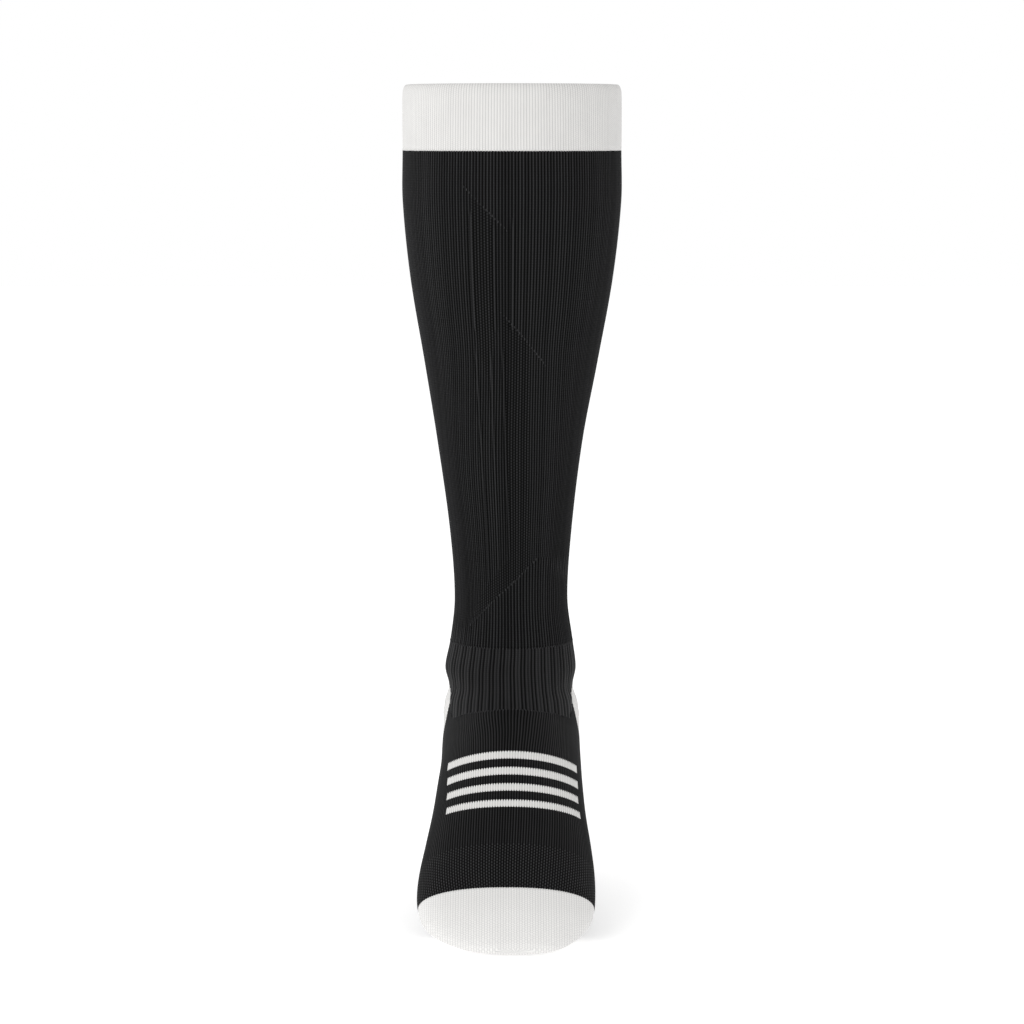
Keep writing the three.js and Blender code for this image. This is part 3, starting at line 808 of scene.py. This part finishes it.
def spaced(share):
    """The turn of a rib from its share of all ribs: those at the sides of the ankle are broader."""
    turn = np.linspace(-0.5, 0.5, 721)
    return np.interp(share, turn + SIDE_WIDENED * np.sin(4 * math.pi * turn) / (4 * math.pi), turn)


def straight(turn, s):
    """Where a rib that leaves the band's upper edge at a turn lies further down, so that it runs
    straight although the sock gets deeper from front to back here."""
    start = int(STATION["band_start"] / CHART_STEP)
    angle = np.interp(np.abs(turn), REACHED[start], np.linspace(0, 2 * math.pi, CHART_ANGLES + 1))
    ends = [STATION["band_start"], STATION["band_end"]]
    halves = column([ring[3] for ring in RINGS], np.array(ends))
    even = np.interp(s, ends, halves) / column([ring[3] for ring in RINGS], s)
    share = np.sin(angle)
    share = share * (1 + (even - 1) * (1 - np.abs(share) ** 3))
    angle = np.where(angle < math.pi / 2, np.arcsin(np.clip(share, 0, 1)), angle)
    return np.sign(turn) * read_chart(REACHED, s, angle / (2 * math.pi) * CHART_ANGLES)


def band_foot(turn):
    """The station at which a straight rib of the band meets the band's lower edge."""
    high = np.full(turn.shape, STATION["band_start"])
    low = np.full(turn.shape, STATION["band_end"] + 1)
    for _ in range(30):
        middle = (high + low) / 2
        above = middle < band_end(straight(turn, middle))
        high = np.where(above, middle, high)
        low = np.where(above, low, middle)
    return low


def all_ribbed(turn, drop):
    """Ribs all the way round."""
    return {"ribbed": np.ones(turn.shape)}


# Black polyamide, broad rib knitted: flat matt ribs with a deep channel at each side, painted near black as
# shade
black_band, tree, wales, drop = start_yarn("black polyamide, broad rib knitted")
height = loops(tree, wales, drop, GROUP_PROFILE, RIB_COURSE, 0.25)
finish_yarn(
    tree, wales, height, BLACK_GROOVE_SHADE, BLACK_LIGHT, relief=0.1, uneven=0.2, **BLACK_SHINE
)
band_tree = make_rib_tree("broad and narrow ribs", GROUP_PROFILE)
ankle_band = cloth("ribbed_ankle", tube_grids(
    lambda turn: np.full(turn.shape, STATION["band_start"] + GAP),
    lambda share: band_foot(spaced(share)) - GAP,
    even_turns(ANKLE_GROUPS * GROUP_POINTS), shares(31, 0.002), ANKLE_GROUPS, 9, all_ribbed,
    lambda share, s: straight(spaced(share), s),
))
sink_ribs(ankle_band, band_tree, 0.6, black_band)
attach(ankle_band, "root")
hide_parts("ankle_band")
corner = HEEL["corner"]
band_edges = stitches(
    "band_edge_stitches",
    [
        ([-0.5, 0.5], [STATION["band_start"]] * 2),
        ([SEAM_TURN - corner, corner - SEAM_TURN], [STATION["band_end"] + 0.3] * 2),
    ],
    pitch=1.75, size=(1.0, 0.6, 0.6), raised=-0.15, yarn=black_yarn, upright=True,
)

# The heel pocket. White plain knit, made as a cup by knitting shorter and then longer rows, which
# meet on a slanting line at each side. It shows behind the ankle as a white edge.
FOOT_WALES = 162
heel_turns = HEEL["corner"] + (0.5 - HEEL["corner"]) * np.linspace(0, 1, 73) ** 1.6
heel_turns = np.concatenate([heel_turns, 1 - heel_turns[:-1][::-1]])


def heel_grids():
    """The heel's two layers. Its courses are counted up and down from its middle row."""
    grids = []
    for layer, (these, count) in enumerate(((heel_turns, 60), (heel_turns[::6], 10))):
        folded = these - (these > 0.5)
        high, low = band_end(folded) + GAP, foot_start(folded) - GAP
        s = high + (low - high) * np.linspace(0, 1, count + 1)[:, None]
        around = np.broadcast_to(these, s.shape)
        place, _ = skin(s, around, -WALL * layer)
        run = np.cumsum(np.linalg.norm(np.diff(place, axis=0), axis=2), axis=0)
        run = np.concatenate([np.zeros((1, len(these))), run])
        grids.append({
            "s": s,
            "turn": around,
            "raised": np.full(s.shape, -WALL * layer),
            "wales": around * FOOT_WALES,
            "drop": run - run[count // 2],
            "masks": {"ribbed": np.zeros(s.shape)},
        })
    return grids


heel = cloth("heel_pocket", heel_grids())
heel.data.materials.append(white_knit)
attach(heel, "root")
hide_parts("heel")

# White polyamide yarn, two plies twisted: clean and matt, with faint lines of painted shade between its plies
white_yarn = single_yarn(
    "white polyamide yarn, two plies", linear("#cfcecc"), linear("#eeedeb"), **WHITE_SHINE
)
gore_turns = np.linspace(corner + 0.004, 0.36, 12)
gore_downs = (band_end(gore_turns) + foot_start(gore_turns)) / 2
heel_gores = stitches(
    "heel_gore_stitches", [(gore_turns, gore_downs), (-gore_turns, gore_downs)],
    pitch=1.6, size=(1.3, 0.6, 0.5), raised=-0.05, yarn=white_yarn,
)

# The foot. Black ribs over the instep with four white stripes knitted in, and plain knit under the
# sole, from the heel pocket to the ball of the foot.
RIBBED_TURN = 0.3
STRIPE_RISE = 155
# Painted shade: the grey of the grooves where the ribs are white
STRIPE_GROOVE_SHADE = linear("#d4d3d1")
TEETH = 1.3
TEETH_SUNK = 0.9
STRIPES = [
    # upper edge at the front, height, and the wales between which it runs
    (400.75, 6.5, -29, 32),
    (414.75, 6.0, -28, 32),
    (428.05, 5.5, -27, 31),
    (440.65, 5.0, -26, 31),
]


def foot_masks(turn, drop):
    """Ribs over the instep that end where the sole begins."""
    return {"ribbed": np.clip((RIBBED_TURN - np.abs(turn)) / 0.02, 0, 1)}


# Black polyamide ribs in which white yarn takes over for a few courses at a time: the same matt ribs in both
# yarns, with painted shade in their grooves, a toothed edge where they meet, and plain knit under the sole
black_foot, tree, wales, drop = start_yarn("black polyamide, rib knitted with white stripes")
ribs = loops(tree, wales, drop, RIB_PROFILE, RIB_COURSE, 0.3)
plain = loops(tree, wales, drop, WALE_PROFILE, COURSE, 0.5, leaning=0.45)
teeth = loops(tree, wales, drop, WALE_PROFILE, COURSE, 0.0)
ribbed = add(tree, "ShaderNodeAttribute", attribute_name="ribbed").outputs["Fac"]
height = add(tree, "ShaderNodeMix", {"Factor": ribbed, 2: plain, 3: ribs})
strand = add(tree, "ShaderNodeMath", {0: wales}, operation="FLOOR")
square = add(tree, "ShaderNodeMath", {0: wales, 1: wales}, operation="MULTIPLY")
level = add(
    tree, "ShaderNodeMath", {0: square, 1: STRIPE_RISE / FOOT_WALES ** 2, 2: drop}, operation="MULTIPLY_ADD"
)
striped = 0.0
for top, tall, first_wale, last_wale in STRIPES:
    middle = top - STATION["cuff_end"] + tall / 2
    least = tall / 2 - TEETH_SUNK
    half = add(tree, "ShaderNodeMath", {0: teeth, 1: TEETH, 2: least}, operation="MULTIPLY_ADD")
    within = add(tree, "ShaderNodeMath", {0: level, 1: middle, 2: half}, operation="COMPARE")
    reach = (last_wale - first_wale) / 2
    between = add(
        tree, "ShaderNodeMath", {0: strand, 1: first_wale + reach, 2: reach + 0.1}, operation="COMPARE"
    )
    striped = add(tree, "ShaderNodeMath", {0: within, 1: between, 2: striped}, operation="MULTIPLY_ADD")
dark = add(tree, "ShaderNodeMix", {"Factor": striped, 6: BLACK_GROOVE_SHADE, 7: STRIPE_GROOVE_SHADE}, data_type="RGBA")
light = add(tree, "ShaderNodeMix", {"Factor": striped, 6: BLACK_LIGHT, 7: WHITE_LIGHT}, data_type="RGBA")
finish_yarn(
    tree, wales, height, dark.outputs[2], light.outputs[2], relief=0.12, uneven=0.25, **BLACK_SHINE
)
foot = cloth("ribbed_foot", tube_grids(
    lambda turn: foot_start(turn) + GAP,
    lambda turn: np.full(turn.shape, STATION["ball"]),
    even_turns(FOOT_WALES * POINTS_PER_WALE), shares(71, 0.0005), FOOT_WALES, 6, foot_masks,
))
sink_ribs(foot, rib_tree, 0.3, black_foot)
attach(foot, "root")
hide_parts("foot")

# The forefoot. A plain black band of tuck knit behind the toes, whose loops stand out as small beads in columns,
# each second column half a bead out of step, with painted shade that darkens the yarn round each bead.
black_tuck, tree, wales, drop = start_yarn("black polyamide, tuck knitted")
height = loops(tree, wales, drop, RIB_PROFILE, TUCK_COURSE * 1.4, 0.9, staggered=0.5)
finish_yarn(
    tree, wales, height, BLACK_GROOVE_SHADE, linear("#464647"), relief=0.2, uneven=0.15, **BLACK_SHINE
)
forefoot = cloth("tucked_forefoot", tube_grids(
    lambda turn: np.full(turn.shape, STATION["ball"]),
    lambda turn: STATION["toe_start"] - toothed(turn, FOOT_WALES) - GAP,
    even_turns(FOOT_WALES * POINTS_PER_WALE), shares(25, 0.002), FOOT_WALES, 6, foot_masks,
))
sink_ribs(forefoot, rib_tree, 0.3, black_tuck)
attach(forefoot, "root")
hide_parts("forefoot")

# The toe cap. White plain knit, made as a cup like the heel, so its wales run straight over the tip
# and under the foot, and its two halves meet on a short slanting line at each side.
TIP_AHEAD = 187.6
TIP_UP = 10.8
TIP_WALL = 1.4
TIP = on_foot(TIP_AHEAD, TIP_UP)
TOE_WALE = 1.35
TOE_PARTING = 0.25


def over_tip(place, turn):
    """The toe's chart at places on it: wales that run over the tip, and the way along its middle."""
    across = np.linspace(0, TOE_PARTING, 100)
    ring, _ = skin(STATION["toe_start"], across)
    run = np.concatenate([[0], np.cumsum(np.linalg.norm(np.diff(ring, axis=0), axis=1))])
    off = place[..., 0] - ring[0, 0]
    wales = np.sign(off) * np.interp(np.abs(off), ring[:, 0] - ring[0, 0], run) / TOE_WALE
    s = np.linspace(STATION["toe_start"] - 1, stations[-1] - 0.3, 80)
    upper, _ = skin(s, 0.0)
    lower, _ = skin(s[::-1], 0.5)
    line = np.concatenate([upper, lower])
    along = np.concatenate([[0], np.cumsum(np.linalg.norm(np.diff(line, axis=0), axis=1))])
    drop = np.empty(wales.shape)
    on_top = np.abs(turn) <= TOE_PARTING
    for part, chosen in ((slice(0, 80), on_top), (slice(80, 160), ~on_top)):
        gaps = place[chosen][:, None, 1:] - line[None, part, 1:]
        drop[chosen] = along[part][np.argmin((gaps ** 2).sum(axis=2), axis=1)]
    return wales, drop


def toe_grids():
    """The toe's two layers, with rows that grow closer towards the tip."""
    grids = []
    turns = even_turns(FOOT_WALES * 2)
    last = stations[-1] - 0.3
    for layer, (these, count) in enumerate(((turns, 40), (turns[::4], 12))):
        ends = last if layer == 0 else STATION["toe_ends"]
        high = STATION["toe_start"] - toothed(these, FOOT_WALES) + GAP
        s = high + (ends - high) * np.sin(np.linspace(0, math.pi / 2, count + 1))[:, None]
        around = np.broadcast_to(these, s.shape)
        place, _ = skin(s, around)
        wales, drop = over_tip(place, around)
        grids.append({
            "s": s,
            "turn": around,
            "raised": np.full(s.shape, -WALL * layer),
            "wales": wales,
            "drop": drop,
            "masks": {"ribbed": np.zeros(s.shape)},
        })
    return grids


# The same white polyamide, plain knitted on the foot's coarser needles: its pits show as grey dots of painted
# shade
white_toe, tree, wales, drop = start_yarn("white polyamide, plain knitted toe")
height = loops(tree, wales, drop, WALE_PROFILE, COURSE * 1.2, 0.3, staggered=0.5, pitted=0.6)
finish_yarn(
    tree, wales, height, WHITE_PIT_SHADE, WHITE_LIGHT, relief=0.08, uneven=0.08, **WHITE_SHINE
)
tip_shift = column([ring[6] for ring in RINGS], stations[-1])
inside_tip = on_foot(TIP_AHEAD - TIP_WALL * WALL, TIP_UP)
toe_cap = cloth("toe_pocket", toe_grids(), poles=([tip_shift, *TIP], [0, *inside_tip]))
toe_cap.data.materials.append(white_toe)
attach(toe_cap, "root")
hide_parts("toe_cap")
GORE = [(0.268, 505), (0.25, 513), (0.222, 518)]
toe_gores = stitches(
    "toe_gore_stitches",
    [([side * turn for turn, _ in GORE], [s for _, s in GORE]) for side in (1, -1)],
    pitch=1.5, size=(1.2, 0.55, 0.4), raised=-0.05, yarn=white_yarn,
)

# The studio. A pale floor under the toe, soft white light from the front left and from behind at each
# side, and the camera at the photograph's place: level with the welt, looking a little down, with a
# long lens.
FLOOR_GAP = 0.0005
FLOOR_REACH = 6.0
floor_mesh = bpy.data.meshes.new("floor")
floor_level = cad_box[0].z - FLOOR_GAP
corners = [
    (x * FLOOR_REACH, y * FLOOR_REACH, floor_level) for x, y in ((-1, -1), (1, -1), (1, 1), (-1, 1))
]
floor_mesh.from_pydata(corners, [], [(0, 1, 2, 3)])
floor = in_scene("floor", floor_mesh)
floor_paint, floor_tree = new_material("white floor")
paint = add(floor_tree, "ShaderNodeBsdfPrincipled", {
    "Base Color": linear("#f4f4f4"),
    "Roughness": 0.9,
    "Emission Color": (1, 1, 1, 1),
    "Emission Strength": 0.4,
})
add(floor_tree, "ShaderNodeOutputMaterial", {"Surface": paint.outputs[0]})
floor_mesh.materials.append(floor_paint)

world = bpy.data.worlds.new("white room")
bpy.context.scene.world = world
world.use_nodes = True
world.node_tree.nodes.clear()
room = add(world.node_tree, "ShaderNodeBackground", {"Color": (1, 1, 1, 1), "Strength": 0.75})
seen = add(world.node_tree, "ShaderNodeBackground", {"Color": (1, 1, 1, 1), "Strength": 1.0})
ray = add(world.node_tree, "ShaderNodeLightPath")
either = add(world.node_tree, "ShaderNodeMixShader", {
    0: ray.outputs["Is Camera Ray"],
    1: room.outputs[0],
    2: seen.outputs[0],
})
add(world.node_tree, "ShaderNodeOutputWorld", {"Surface": either.outputs[0]})


def soft_light(name, place, target, size, power):
    """A square soft box that faces its target."""
    data = bpy.data.lights.new(name, "AREA")
    data.size = size
    data.energy = power
    light = in_scene(name, data)
    light.location = place
    away = [place[k] - target[k] for k in range(3)]
    flat = math.hypot(away[0], away[1])
    light.rotation_euler = (math.atan2(flat, away[2]), 0, math.atan2(away[0], -away[1]))


soft_light("key", (-0.9, -1.6, 0.5), (0, 0, -0.2), 0.9, 9)
soft_light("left rim", (-1.4, 0.8, 0.1), (0, 0, -0.2), 0.9, 4.5)
soft_light("right rim", (1.4, 0.8, 0.1), (0, 0, -0.2), 0.9, 2)

LENS = 100
SENSOR = 36
CAMERA_PLACE = (0, -1.540, -0.024)
CAMERA_PITCH = 7.65
camera_data = bpy.data.cameras.new("camera")
camera_data.lens = LENS
camera_data.sensor_width = SENSOR
camera = in_scene("camera", camera_data)
camera.location = CAMERA_PLACE
camera.rotation_euler = (math.radians(90 - CAMERA_PITCH), 0, 0)
bpy.context.scene.camera = camera
bpy.context.scene.view_settings.view_transform = "Standard"
